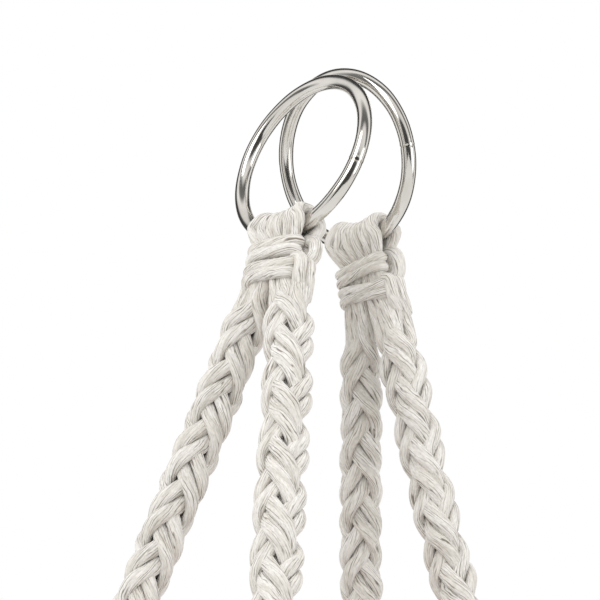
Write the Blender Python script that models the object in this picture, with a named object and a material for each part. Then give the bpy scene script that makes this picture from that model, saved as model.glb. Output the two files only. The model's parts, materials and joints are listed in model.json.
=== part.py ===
"""A hanging macrame planter: two welded rings, a square knot under each ring, four plaited cord arms,
a knotted cradle with a gathered tassel, and the pot that the cradle holds.

Metres, +Z up. The origin is the seat of the hook that both rings hang from.
"""

import math

import bmesh
import bpy
from mathutils import Vector

# Rings
RING_RADIUS = 0.032  # of the wire's centre line
WIRE_RADIUS = 0.0028
RING_SEGMENTS = 56
WIRE_SEGMENTS = 12
# name, side of the hook along X, ring centre (x, z), lean from the vertical
RINGS = (
    ("front", -1, (-0.0095, -0.0306), math.radians(12)),
    ("back", 1, (0.0132, -0.0251), math.radians(19)),
)

# Cords
CORD_DIAMETER = 0.0034
TOUCH_GAP = 0.0003
LOOP_CLEARANCE = 0.0004  # between the wire and the cords folded over it
LOOP_THICKNESS = 0.0024  # of the folded cords, pressed against the wire
LOOP_HALF_ANGLE = math.radians(21)  # of the ring's arc that the cords cover
LOOP_OUTER_RADIUS = WIRE_RADIUS + LOOP_CLEARANCE + LOOP_THICKNESS
LOOP_STATIONS = 9

# Square knots, measured down from the wire's centre at the foot of each ring
KNOT_TOP = 0.0071
CORE_HALF_WIDTH = 0.0103
CORE_HALF_DEPTH = 0.0040
CORE_CORNER = 0.0030
UPPER_WRAP_DEPTH = 0.0102
LOWER_WRAP_DEPTH = 0.0178
WRAP_HALF_HEIGHT = 0.0037
WRAP_HALF_THICKNESS = CORD_DIAMETER / 2
WRAP_EDGE = 0.0012  # its edges' rounding
SIDE_TURN_RADIUS = 0.0028
SIDE_TURN_TOP = 0.0125
SIDE_TURN_LENGTH = 0.0125

# Plaited arms
ARM_TOP_Z = -0.087  # where each square knot lets go of its two arms
ARM_START_Z = -0.091
ARM_TOP_X = {"front": -0.0240, "back": 0.0286}
ARM_TOP_MID_Y = -0.0035
ARM_TOP_HALF_GAP = 0.0083
ARM_RADIUS = 0.0082
ARM_END_Z = -0.366
ARM_RIM_ANGLE = {"front": math.radians(37), "back": math.radians(33)}  # from the X axis
ARM_RIM_RADIUS = 0.1196
RIM_Z = -0.385
# how far each plait bows from a straight line, at the middle of its control point (x, y)
ARM_BOW = {
    "front_left": (0.0, 0.0),
    "front_right": (0.0058, -0.0054),
    "back_left": (0.0010, -0.0010),
    "back_right": (-0.0060, 0.0056),
}
ARM_POINTS = 7

# Pot, turned about the Z axis
POT_RIM_RADIUS = 0.1055
POT_RIM_Z = -0.383
POT_FOOT_RADIUS = 0.086  # where the straight wall meets the rounded bottom
POT_FOOT_Z = -0.503
POT_BASE_Z = -0.535
POT_WALL = 0.0055
POT_BOTTOM_ARC = POT_FOOT_Z - POT_BASE_Z  # radius of the rounded bottom edge
POT_SEGMENTS = 48

# Cradle
RIM_KNOT_RADIUS = 0.0105
RIM_KNOT_LENGTH = 0.024
NET_RADIUS = 0.0036
NET_START_DROP = 0.0064  # of a leg's first point below its rim knot
NET_END_RISE = 0.0048  # of a leg's last point above its mid knot
BUNDLE_RADIUS = 0.0048
WALL_GAP = 0.0006
MID_KNOT_Z = -0.463
MID_KNOT_LENGTH = 0.020
MID_KNOT_RADIUS = 0.0072
GATHER_RADIUS = 0.0105
GATHER_TOP_Z = -0.5362
GATHER_END_Z = -0.597
GATHER_WRAP_TOP_Z = -0.553
GATHER_WRAP_END_Z = -0.588
TASSEL_TOP_Z = -0.5975
TASSEL_END_Z = -0.742
TASSEL_END_RADIUS = 0.020

COTTON = (0.78, 0.75, 0.69, 1.0)
NICKEL = (0.72, 0.70, 0.66, 1.0)
TERRACOTTA = (0.55, 0.24, 0.13, 1.0)


def clear_scene():
    for thing in list(bpy.data.objects):
        bpy.data.objects.remove(thing, do_unlink=True)


def make_material(name, colour, roughness, metallic):
    material = bpy.data.materials.new(name)
    material.use_nodes = True
    shader = material.node_tree.nodes["Principled BSDF"]
    shader.inputs["Base Color"].default_value = colour
    shader.inputs["Roughness"].default_value = roughness
    shader.inputs["Metallic"].default_value = metallic
    return material


def cotton(name):
    return make_material(name + "_cotton", COTTON, 0.9, 0.0)


def add_to_scene(name, data, material):
    thing = bpy.data.objects.new(name, data)
    bpy.context.scene.collection.objects.link(thing)
    data.materials.append(material)
    return thing


def loft(name, sections, material, closed=False):
    """Skins equal sections of points in order. Open lofts get end faces; closed ones join up."""
    shape = bmesh.new()
    rows = [[shape.verts.new(point) for point in section] for section in sections]
    count = len(rows[0])
    pairs = list(zip(rows, rows[1:]))
    if closed:
        pairs.append((rows[-1], rows[0]))
    for near, far in pairs:
        for i in range(count):
            j = (i + 1) % count
            shape.faces.new((near[i], near[j], far[j], far[i]))
    if not closed:
        shape.faces.new(rows[0])
        shape.faces.new(rows[-1])
    bmesh.ops.recalc_face_normals(shape, faces=shape.faces)
    mesh = bpy.data.meshes.new(name)
    shape.to_mesh(mesh)
    shape.free()
    mesh.shade_smooth()
    mesh.set_sharp_from_angle(angle=math.radians(50))
    return add_to_scene(name, mesh, material)


def tube(name, points, radius, material):
    """A plain cord or rope: a round tube with filled ends along the points."""
    curve = bpy.data.curves.new(name, "CURVE")
    curve.dimensions = "3D"
    curve.bevel_depth = radius
    curve.bevel_resolution = 2
    curve.use_fill_caps = True
    spline = curve.splines.new("POLY")
    spline.points.add(len(points) - 1)
    for target, point in zip(spline.points, points):
        target.co = (*point, 1.0)
    return add_to_scene(name, curve, material)


def circle(centre, first, second, radius, segments):
    turns = (2 * math.pi * i / segments for i in range(segments))
    return [centre + radius * (math.cos(t) * first + math.sin(t) * second) for t in turns]


def across_axis(axis):
    """Two unit vectors square to the axis and to each other."""
    helper = Vector((0, 0, 1)) if abs(axis.z) < 0.9 else Vector((0, 1, 0))
    first = axis.cross(helper).normalized()
    return first, axis.cross(first).normalized()


def barrel(name, top, axis, length, radius, material, segments=16):
    """A round knot: a short cylinder along the axis whose ends draw in."""
    first, second = across_axis(axis)
    profile = ((0.0, 0.72), (0.08, 0.90), (0.25, 1.0), (0.75, 1.0), (0.92, 0.90), (1.0, 0.72))
    sections = [circle(top + axis * length * t, first, second, radius * k, segments) for t, k in profile]
    return loft(name, sections, material)


def turned(name, profile, material, segments):
    """A solid of revolution about Z through profile points (radius, z), with flat ends."""
    first = Vector((1, 0, 0))
    second = Vector((0, 1, 0))
    sections = [circle(Vector((0, 0, z)), first, second, r, segments) for r, z in profile]
    return loft(name, sections, material)


def ring_frame(side, centre, lean):
    """The ring's centre, and its unit vectors down in its plane and along its axis."""
    down = Vector((side * math.sin(lean), 0, -math.cos(lean)))
    normal = Vector((side * math.cos(lean), 0, math.sin(lean)))
    return Vector((centre[0], 0, centre[1])), down, normal


def make_ring(name, side, centre, lean):
    """The welded ring: a torus whose origin is on its own axis, which is the spin joint's."""
    middle, down, normal = ring_frame(side, centre, lean)
    material = make_material(name + "_ring_metal", NICKEL, 0.12, 1.0)
    sections = []
    for i in range(RING_SEGMENTS):
        turn = 2 * math.pi * i / RING_SEGMENTS
        outward = math.cos(turn) * down + math.sin(turn) * Vector((0, 1, 0))
        sections.append(circle(outward * RING_RADIUS, outward, normal, WIRE_RADIUS, WIRE_SEGMENTS))
    ring = loft(name + "_ring", sections, material, closed=True)
    ring.location = middle


def make_loops(name, side, centre, lean):
    """The eight cords folded over the wire, as one sleeve around the foot of the ring."""
    middle, down, normal = ring_frame(side, centre, lean)
    foot = middle + down * RING_RADIUS
    arc = [LOOP_HALF_ANGLE * (2 * i / (LOOP_STATIONS - 1) - 1) for i in range(LOOP_STATIONS)]
    sections = []
    for i in range(16):
        around = 2 * math.pi * i / 16
        loop = []
        for radius, angles in ((LOOP_OUTER_RADIUS, arc), (WIRE_RADIUS + LOOP_CLEARANCE, arc[::-1])):
            for turn in angles:
                outward = math.cos(turn) * down + math.sin(turn) * Vector((0, 1, 0))
                spoke = math.cos(around) * outward + math.sin(around) * normal
                loop.append(middle + outward * RING_RADIUS + spoke * radius - foot)
        sections.append(loop)
    loops = loft(name + "_loops", sections, cotton(name + "_loops"), closed=True)
    loops.location = foot


def knot_frame(name, side, centre, lean):
    """The foot of the ring, and the square knot's unit vectors: down, across and outward."""
    middle, down, _ = ring_frame(side, centre, lean)
    foot = middle + down * RING_RADIUS
    release = Vector((ARM_TOP_X[name], ARM_TOP_MID_Y, ARM_TOP_Z))
    fall = (release - foot).normalized()
    across = (Vector((0, 1, 0)) - fall * fall.y).normalized()
    outward = across.cross(fall) * -side
    return foot, fall, across, outward, (release - foot).length


def rounded_box_outline(half_width, half_depth, corner, steps=4):
    """Points around a rectangle with round corners, each with the direction it faces."""
    points = []
    for k, (sx, sy) in enumerate(((1, 1), (-1, 1), (-1, -1), (1, -1))):
        for i in range(steps + 1):
            turn = math.pi / 2 * (k + i / steps)
            x = sx * (half_width - corner) + corner * math.cos(turn)
            y = sy * (half_depth - corner) + corner * math.sin(turn)
            points.append((x, y, turn))
    return points


def make_core(name, frame):
    """The sixteen cords inside the square knot's wraps."""
    foot, fall, across, outward, reach = frame
    outline = rounded_box_outline(CORE_HALF_WIDTH, CORE_HALF_DEPTH, CORE_CORNER)
    sections = []
    for depth in (KNOT_TOP, reach):
        middle = foot + fall * depth
        sections.append([middle + across * x + outward * y for x, y, _ in outline])
    loft(name + "_knot_core", sections, cotton(name + "_knot_core"))


def make_wrap(name, part, depth, frame):
    """One flat turn of doubled cord around the core."""
    foot, fall, across, outward, _ = frame
    middle = foot + fall * depth
    half_width = CORE_HALF_WIDTH + TOUCH_GAP + WRAP_HALF_THICKNESS
    half_depth = CORE_HALF_DEPTH + TOUCH_GAP + WRAP_HALF_THICKNESS
    corner = CORE_CORNER + TOUCH_GAP + WRAP_HALF_THICKNESS
    path = rounded_box_outline(half_width, half_depth, corner)
    section = rounded_box_outline(WRAP_HALF_THICKNESS, WRAP_HALF_HEIGHT, WRAP_EDGE, 2)
    sections = []
    for x, y, turn in path:
        spoke = math.cos(turn) * across + math.sin(turn) * outward
        here = middle + across * x + outward * y
        sections.append([here + spoke * a + fall * b for a, b, _ in section])
    loft(f"{name}_{part}_wrap", sections, cotton(f"{name}_{part}_wrap"), closed=True)


def make_side_turn(name, frame):
    """The upright turn of doubled cord at the knot's side, where the wraps lock."""
    foot, fall, across, _, _ = frame
    reach = CORE_HALF_WIDTH + 2 * (TOUCH_GAP + WRAP_HALF_THICKNESS) + SIDE_TURN_RADIUS
    top = foot + fall * SIDE_TURN_TOP - across * reach
    label = name + "_side_turn"
    barrel(label, top, fall, SIDE_TURN_LENGTH, SIDE_TURN_RADIUS, cotton(label), 10)


def polar(radius, angle, z):
    return Vector((radius * math.cos(angle), radius * math.sin(angle), z))


def rim_angle(name, along):
    """The angle about Z at which an arm meets the pot's rim."""
    side = -1 if name == "front" else 1
    return math.atan2(along * math.sin(ARM_RIM_ANGLE[name]), side * math.cos(ARM_RIM_ANGLE[name]))


def arm_point(name, along, label, z):
    """The point of an arm's centre line at a height: a shallow bow from its knot to the rim."""
    top = Vector((ARM_TOP_X[name], ARM_TOP_MID_Y + along * ARM_TOP_HALF_GAP, ARM_TOP_Z))
    rim = polar(ARM_RIM_RADIUS, rim_angle(name, along), RIM_Z)
    t = (z - top.z) / (rim.z - top.z)
    return top.lerp(rim, t) + Vector((*ARM_BOW[label], 0)) * 2 * t * (1 - t)


def make_arm(name, along, label):
    """A plaited arm and the knot that ends it at the pot's rim."""
    heights = [ARM_START_Z + (ARM_END_Z - ARM_START_Z) * i / (ARM_POINTS - 1) for i in range(ARM_POINTS)]
    points = [arm_point(name, along, label, z) for z in heights]
    tube(label + "_arm", points, ARM_RADIUS, cotton(label + "_arm"))
    direction = (points[-1] - points[-2]).normalized()
    start = points[-1] + direction * (TOUCH_GAP + 0.0005)
    knot = label + "_rim_knot"
    barrel(knot, start, direction, RIM_KNOT_LENGTH, RIM_KNOT_RADIUS, cotton(knot))
    return start + direction * RIM_KNOT_LENGTH


def wall_radius(z):
    """The pot's outer radius at a height on its straight wall."""
    share = (z - POT_FOOT_Z) / (POT_RIM_Z - POT_FOOT_Z)
    return POT_FOOT_RADIUS + share * (POT_RIM_RADIUS - POT_FOOT_RADIUS)


def make_net_leg(label, knot_foot, arm_angle, mid_angle):
    """Four cords from a rim knot, drawn in against the pot's wall, to a mid knot."""
    turn = math.copysign(1, math.sin(mid_angle - arm_angle))
    start_angle = arm_angle + turn * math.radians(2.4)
    end_angle = mid_angle - turn * math.radians(2.6)
    if end_angle - start_angle > math.pi:
        end_angle -= 2 * math.pi
    if start_angle - end_angle > math.pi:
        end_angle += 2 * math.pi
    start_z = knot_foot.z - NET_START_DROP
    end_z = MID_KNOT_Z + MID_KNOT_LENGTH / 2 + NET_END_RISE
    start_radius = math.hypot(knot_foot.x, knot_foot.y) - 0.002
    lift = start_radius - (wall_radius(start_z) + NET_RADIUS + WALL_GAP)
    points = []
    for i in range(13):
        t = i / 12
        z = start_z + (end_z - start_z) * t
        radius = wall_radius(z) + NET_RADIUS + WALL_GAP + 0.0035 * t**6 + lift * (1 - t) ** 3
        points.append(polar(radius, start_angle + (end_angle - start_angle) * t, z))
    tube(label, points, NET_RADIUS, cotton(label))


def make_mid_knot(label, angle):
    """Where the cords of two neighbouring arms meet, flat against the pot's wall."""
    low, high = (MID_KNOT_Z - MID_KNOT_LENGTH / 2, MID_KNOT_Z + MID_KNOT_LENGTH / 2)
    away = MID_KNOT_RADIUS + WALL_GAP
    top = polar(wall_radius(high) + away, angle, high)
    foot = polar(wall_radius(low) + away, angle, low)
    axis = (foot - top).normalized()
    barrel(label, top, axis, (foot - top).length, MID_KNOT_RADIUS, cotton(label))


def make_under_leg(label, angle):
    """Eight cords from a mid knot, around the pot's bottom edge and in to the gathering."""
    away = BUNDLE_RADIUS + WALL_GAP
    start_z = MID_KNOT_Z - MID_KNOT_LENGTH / 2 - 0.0012
    points = []
    for i in range(4):
        z = start_z + (POT_FOOT_Z - start_z) * i / 4
        points.append(polar(wall_radius(z) + away, angle, z))
    for i in range(9):
        turn = math.pi / 2 * i / 8
        radius = POT_FOOT_RADIUS - POT_BOTTOM_ARC + (POT_BOTTOM_ARC + away) * math.cos(turn)
        points.append(polar(radius, angle, POT_FOOT_Z - (POT_BOTTOM_ARC + away) * math.sin(turn)))
    for radius in (0.040, 0.026, GATHER_RADIUS + TOUCH_GAP + 0.0004):
        points.append(polar(radius, angle, POT_BASE_Z - away))
    tube(label, points, BUNDLE_RADIUS, cotton(label))


def make_gathering():
    """All the cords drawn together under the pot, the wrap around them, and the free ends."""
    core = ((GATHER_RADIUS, GATHER_TOP_Z), (GATHER_RADIUS, GATHER_END_Z))
    turned("gathered_cords", core, cotton("gathered_cords"), 20)
    inner = GATHER_RADIUS + TOUCH_GAP
    outer = inner + CORD_DIAMETER
    corners = (
        (inner, GATHER_WRAP_TOP_Z),
        (outer - WRAP_EDGE, GATHER_WRAP_TOP_Z),
        (outer, GATHER_WRAP_TOP_Z - WRAP_EDGE),
        (outer, GATHER_WRAP_END_Z + WRAP_EDGE),
        (outer - WRAP_EDGE, GATHER_WRAP_END_Z),
        (inner, GATHER_WRAP_END_Z),
    )
    turns = [2 * math.pi * i / 24 for i in range(24)]
    sections = [[polar(radius, turn, z) for radius, z in corners] for turn in turns]
    loft("gathering_wrap", sections, cotton("gathering_wrap"), closed=True)
    length = TASSEL_TOP_Z - TASSEL_END_Z
    fan = ((0.0, GATHER_RADIUS), (0.12, 0.0125), (0.35, 0.0160), (0.7, 0.0188), (1.0, TASSEL_END_RADIUS))
    profile = [(radius, TASSEL_TOP_Z - length * t) for t, radius in fan]
    turned("tassel", profile, cotton("tassel"), 20)


def make_pot():
    """A tapered pot with a round lip and a rounded bottom edge, open at the top."""
    profile = []
    for i in range(7):
        turn = math.pi / 2 * (1 - i / 6)
        radius = POT_FOOT_RADIUS - POT_BOTTOM_ARC + POT_BOTTOM_ARC * math.cos(turn)
        profile.append((radius, POT_FOOT_Z - POT_BOTTOM_ARC * math.sin(turn)))
    lip = POT_WALL / 2
    for i in range(7):
        turn = math.pi * i / 6
        profile.append((POT_RIM_RADIUS - lip + lip * math.cos(turn), POT_RIM_Z + lip * math.sin(turn)))
    inner_arc = POT_BOTTOM_ARC - POT_WALL
    for i in range(7):
        turn = math.pi / 2 * i / 6
        radius = POT_FOOT_RADIUS - POT_BOTTOM_ARC + inner_arc * math.cos(turn)
        profile.append((radius, POT_FOOT_Z - inner_arc * math.sin(turn)))
    turned("pot", profile, make_material("pot_terracotta", TERRACOTTA, 0.85, 0.0), POT_SEGMENTS)


def make_planter():
    for name, side, centre, lean in RINGS:
        make_ring(name, side, centre, lean)
        make_loops(name, side, centre, lean)
        frame = knot_frame(name, side, centre, lean)
        make_core(name, frame)
        make_wrap(name, "upper", UPPER_WRAP_DEPTH, frame)
        make_wrap(name, "lower", LOWER_WRAP_DEPTH, frame)
        make_side_turn(name, frame)
    mid_angles = {"front": math.pi, "left": math.pi / 2, "back": 0.0, "right": -math.pi / 2}
    for name, *_ in RINGS:
        for along, hand in ((1, "left"), (-1, "right")):
            label = f"{name}_{hand}"
            foot = make_arm(name, along, label)
            for goal in (name, hand):
                net_name = f"{label}_net_to_{goal}"
                make_net_leg(net_name, foot, rim_angle(name, along), mid_angles[goal])
    for place, angle in mid_angles.items():
        make_mid_knot(place + "_mid_knot", angle)
        make_under_leg(place + "_under_leg", angle)
    make_gathering()
    make_pot()


clear_scene()
make_planter()
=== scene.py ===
"""The looks of a hanging macrame planter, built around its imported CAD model.

Metres, +Z up, in the frame of the CAD. Every cord is a three-ply cord, swept along its own path.
"""

import json
import math

import bpy
import numpy as np
from mathutils import Matrix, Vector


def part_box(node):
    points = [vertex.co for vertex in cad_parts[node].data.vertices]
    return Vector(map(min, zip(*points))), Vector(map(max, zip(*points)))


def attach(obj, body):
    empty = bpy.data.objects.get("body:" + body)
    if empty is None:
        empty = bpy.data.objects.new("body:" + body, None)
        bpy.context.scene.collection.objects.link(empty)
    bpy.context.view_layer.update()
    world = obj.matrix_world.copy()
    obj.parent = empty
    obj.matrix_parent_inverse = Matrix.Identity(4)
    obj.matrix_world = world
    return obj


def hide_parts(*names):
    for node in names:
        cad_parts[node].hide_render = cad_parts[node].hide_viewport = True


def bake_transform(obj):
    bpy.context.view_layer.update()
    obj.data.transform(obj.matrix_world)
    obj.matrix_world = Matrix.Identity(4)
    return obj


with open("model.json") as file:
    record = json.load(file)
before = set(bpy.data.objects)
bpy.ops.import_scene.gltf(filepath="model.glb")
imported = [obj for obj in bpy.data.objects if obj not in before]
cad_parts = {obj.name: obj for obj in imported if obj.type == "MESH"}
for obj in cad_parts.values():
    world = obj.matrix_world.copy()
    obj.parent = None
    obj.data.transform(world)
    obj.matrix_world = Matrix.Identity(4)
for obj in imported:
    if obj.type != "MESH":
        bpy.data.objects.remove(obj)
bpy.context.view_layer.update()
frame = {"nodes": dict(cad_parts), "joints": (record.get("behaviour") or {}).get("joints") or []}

UP = np.array((0.0, 0.0, 1.0))
ACROSS = np.array((0.0, 1.0, 0.0))

# Camera: where it looks from, and the point that it aims at
CAMERA_AZIMUTH = math.radians(-42.98)
CAMERA_ELEVATION = math.radians(-17.39)
CAMERA_ROLL = math.radians(2.38)
CAMERA_DISTANCE = 1.2075
CAMERA_LENS = 195.5
CAMERA_AIM = (0.0023, -0.0035, -0.087)
CAMERA_AIM_RIGHT = -0.009665
CAMERA_AIM_UP = 0.00268

# Cord
CORD = 0.0050
PLIES = 3
YARNS = 15  # that the surface shows around a cord
PLY_LAY = -0.040  # length of one turn of the plies, which turn to the left
YARN_SLANT = 0.22  # of the yarns against the cord's own line, as a tangent
STATION = 0.0011  # step between the points of a swept cord's path

# Rings
WIRE_RADIUS = 0.0028
WELD_ANGLE = {"front": 1.29, "back": 1.52}  # around the ring from its foot, towards -Y

# Knots
KNOT_HALF_WIDTH = 0.0103
KNOT_HALF_DEPTH = 0.0040
LOOP_SPREAD = math.radians(20.5)
LOOP_COUNT = 6
PRESSED = 0.84  # of the full size, where the bars hold the folded cords
ROW_DEPTH = 0.0023
UPPER_BAR_DEPTH = {"front": 0.0112, "back": 0.0116}
LOWER_BAR_DEPTH = {"front": 0.0210, "back": 0.0206}
BAR_SLOPE = {"front": (-0.17, -0.24), "back": (0.05, -0.16)}  # of the upper and the lower bar
BAR_CORD = {"front": 0.0050, "back": 0.0042}
SIDE_BULGE = {"front": 0.0026, "back": 0.0010}  # of the turn that locks the two bars
SIDE_OUT = {"front": 0.0006, "back": 0.0004}  # how far it is moved out of the near face
SIDE_CORD = 0.0050
SIDE_TOP = 0.0066  # from the upper bar down to the top of that turn
SIDE_END = 0.0096  # from the lower bar down to its end
CORE_START_DEPTH = 0.0105
SWING = {"front": 0.0022, "back": -0.0008}  # of the working cords beside the lower bar

# Plaited arms
PLAIT_LEAD = 0.048
PLAIT_SINK = 0.0024  # how much nearer the middle a strand lies where it goes under
PLAIT_CORD = 0.0054
PLAIT_SPACING = 0.0056  # of the two cords of a strand
PLAIT_PRESS = 0.20  # how much the plait's cords are pressed flat, towards its middle
PLAIT_START = 0.014  # length over which the cords pass from the knot into the plait
OFF_MIDDLE = 1e-6  # added to a plait's middle line, so that the way to it never has no length
# Outer radius of the strands' paths, angle of the column of crossings, length before the first one
PLAITS = {
    "front_left": (0.0058, math.radians(45), 0.006),
    "front_right": (0.0058, 0.0, 0.0097),
    "back_left": (0.0053, math.radians(45), 0.004),
    "back_right": (0.0050, 0.0, 0.0125),
}
ARM_TOP_X = {"front": -0.0240, "back": 0.0286}
ARM_TOP_MID_Y = -0.0035
ARM_TOP_HALF_GAP = 0.0083
ARM_TOP_Z = -0.087

# Pot and cradle
POT_RIM_RADIUS = 0.1055
POT_RIM_Z = -0.383
POT_FOOT_RADIUS = 0.086
POT_FOOT_Z = -0.503
POT_WALL = 0.0055
WALL_GAP = 0.0006
NET_RADIUS = 0.0036
MID_ANGLES = {"front": math.pi, "left": math.pi / 2, "back": 0.0, "right": -math.pi / 2}
RIM_KNOT_LENGTH = 0.024
GATHER_SLOTS = (  # for the cords of one side: a radius, and angles from the side's middle
    (0.0022, (0.0,)),
    (0.0053, (-0.52, 0.0, 0.52)),
    (0.0087, (-0.59, -0.20, 0.20, 0.59)),
)
GATHER_DIAMETER = 0.0033
GATHER_TOP_Z = -0.552
GATHER_END_Z = -0.5975

# Studio
FLOOR_Z = -3.0
FLOOR_HALF = 6

chance = np.random.default_rng(31)


# ---------------------------------------------------------------- paths

def unit(v):
    v = np.asarray(v, float)
    return v / np.linalg.norm(v, axis=-1, keepdims=True)


def even(line, step):
    """The same line, as points at equal steps."""
    run = np.concatenate([[0], np.cumsum(np.linalg.norm(np.diff(line, axis=0), axis=1))])
    count = max(3, int(round(run[-1] / step)) + 1)
    at = np.linspace(0, run[-1], count)
    return np.stack([np.interp(at, run, line[:, k]) for k in range(3)], 1)


def spline(points, step=STATION):
    """A smooth curve through the points, as points at equal steps."""
    p = np.array(points, float)
    q = np.vstack([2 * p[0] - p[1], p, 2 * p[-1] - p[-2]])
    t = np.linspace(0, 1, 10, endpoint=False)[:, None]
    parts = []
    for a, b, c, d in zip(q, q[1:], q[2:], q[3:]):
        parts.append(
            0.5 * (2 * b + (c - a) * t + (2 * a - 5 * b + 4 * c - d) * t**2 + (3 * b - 3 * c + d - a) * t**3)
        )
    parts.append(p[-1:])
    return even(np.vstack(parts), step)


def smooth_step(t):
    t = np.clip(t, 0, 1)
    return t * t * (3 - 2 * t)


def lengths(path):
    return np.concatenate([[0], np.cumsum(np.linalg.norm(np.diff(path, axis=0), axis=1))])


def travelling_frame(path):
    """The path's tangents, and two directions square to them that turn as little as they can."""
    tangent = unit(np.gradient(path, axis=0))
    side = unit(np.cross(tangent[0], (0.31, 0.9, 0.3)))
    first = np.empty_like(path)
    for i, t in enumerate(tangent):
        side = side - t * (side @ t)
        side = side / math.sqrt(side @ side)
        first[i] = side
    return tangent, first, np.cross(tangent, first)


# ---------------------------------------------------------------- cords

class Cords:
    """Collects swept cords, and makes one mesh piece of them."""

    def __init__(self):
        self.vertices, self.faces, self.caps = [], [], []
        self.thread, self.groove, self.shade = [], [], []
        self.count = 0

    def add(self, path, diameter=CORD, per_ply=5, depth=0.07, flare=0.0, press=0.0, middle=None):
        """One three-ply cord along the path, flattened by press towards the points of middle."""
        path = np.asarray(path, float)
        run = lengths(path)
        tangent, first, second = travelling_frame(path)
        sides = PLIES * per_ply
        around = 2 * math.pi * np.arange(sides) / sides
        lobe = np.cos(PLIES * around)
        profile = 1 - depth * (0.5 - 0.5 * lobe) ** 1.6
        turn = chance.uniform(0, 2 * math.pi) + 2 * math.pi * run / PLY_LAY
        spin = around[None, :] + turn[:, None]
        radius = np.broadcast_to(np.asarray(diameter, float), len(path)) / 2
        if flare:
            radius = radius * (1 + flare * smooth_step((run - run[-1] + 0.012) / 0.012))
        spread = radius[:, None] * profile[None, :]
        offset = spread[..., None] * (
            np.cos(spin)[..., None] * first[:, None, :] + np.sin(spin)[..., None] * second[:, None, :]
        )
        if press:
            way = unit(path - middle)
            way = unit(way - tangent * np.sum(way * tangent, axis=1)[:, None])[:, None, :]
            offset = (1 + press / 2) * offset - 1.5 * press * np.sum(offset * way, axis=2)[..., None] * way
        rows = path[:, None, :] + offset
        start = self.count
        n = len(path)
        index = start + np.arange(n * sides).reshape(n, sides)
        after = np.roll(index, -1, axis=1)
        quads = np.stack([index[:-1], after[:-1], after[1:], index[1:]], -1).reshape(-1, 4)
        yarn = spin + YARN_SLANT * run[:, None] / radius.mean()
        along = run[:, None] + chance.uniform(0, 5)
        yarn_y = radius[:, None] * np.cos(yarn)
        yarn_z = radius[:, None] * np.sin(yarn)
        thread = np.stack([np.broadcast_to(along, spin.shape), yarn_y, yarn_z], -1)
        tips = np.stack([path[0] - tangent[0] * radius[0] * 0.3, path[-1] + tangent[-1] * radius[-1] * 0.3])
        tip_index = start + n * sides + np.array([0, 1])
        i = np.arange(sides)
        j = (i + 1) % sides
        head = np.stack([index[0][j], index[0][i], np.full(sides, tip_index[0])], -1)
        tail = np.stack([index[-1][i], index[-1][j], np.full(sides, tip_index[1])], -1)
        self.vertices.append(rows.reshape(-1, 3))
        self.vertices.append(tips)
        self.faces.append(quads)
        self.caps.append(np.vstack([head, tail]))
        self.thread.append(thread.reshape(-1, 3))
        self.thread.append(np.array([[along[0, 0], 0, 0], [along[-1, 0], 0, 0]]))
        # groove: how deep in the groove between the plies each point lies, which the cotton uses to paint
        # shade there
        self.groove.append(np.tile((1 - profile) / depth, n))
        self.groove.append(np.zeros(2))
        self.shade.append(np.full(n * sides + 2, chance.uniform(0, 1)))
        self.count += n * sides + 2

    def piece(self, name, material, body="macrame", nodes=()):
        faces = [np.vstack(self.faces), np.vstack(self.caps)]
        thing = new_piece(name, np.vstack(self.vertices), faces, material)
        mesh = thing.data
        mesh.attributes.new("thread", "FLOAT_VECTOR", "POINT").data.foreach_set(
            "vector", np.vstack(self.thread).astype(np.float32).ravel()
        )
        for label, parts in (("groove", self.groove), ("shade", self.shade)):
            mesh.attributes.new(label, "FLOAT", "POINT").data.foreach_set(
                "value", np.concatenate(parts).astype(np.float32)
            )
        if body:
            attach(thing, body)
        if nodes:
            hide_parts(*nodes)
        return thing


def new_piece(name, vertices, face_sets, material):
    """A mesh object from arrays of vertices and of faces with equal corner counts, shaded smooth."""
    corners = np.concatenate([f.ravel() for f in face_sets])
    totals = np.concatenate([np.full(len(f), f.shape[1]) for f in face_sets])
    mesh = bpy.data.meshes.new(name)
    mesh.vertices.add(len(vertices))
    mesh.vertices.foreach_set("co", np.asarray(vertices, np.float32).ravel())
    mesh.loops.add(len(corners))
    mesh.loops.foreach_set("vertex_index", corners.astype(np.int32))
    mesh.polygons.add(len(totals))
    starts = np.concatenate([[0], np.cumsum(totals)[:-1]])
    mesh.polygons.foreach_set("loop_start", starts.astype(np.int32))
    mesh.update(calc_edges=True)
    mesh.validate()
    mesh.shade_smooth()
    mesh.materials.append(material)
    thing = bpy.data.objects.new(name, mesh)
    bpy.context.scene.collection.objects.link(thing)
    return thing


# ---------------------------------------------------------------- materials

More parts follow.
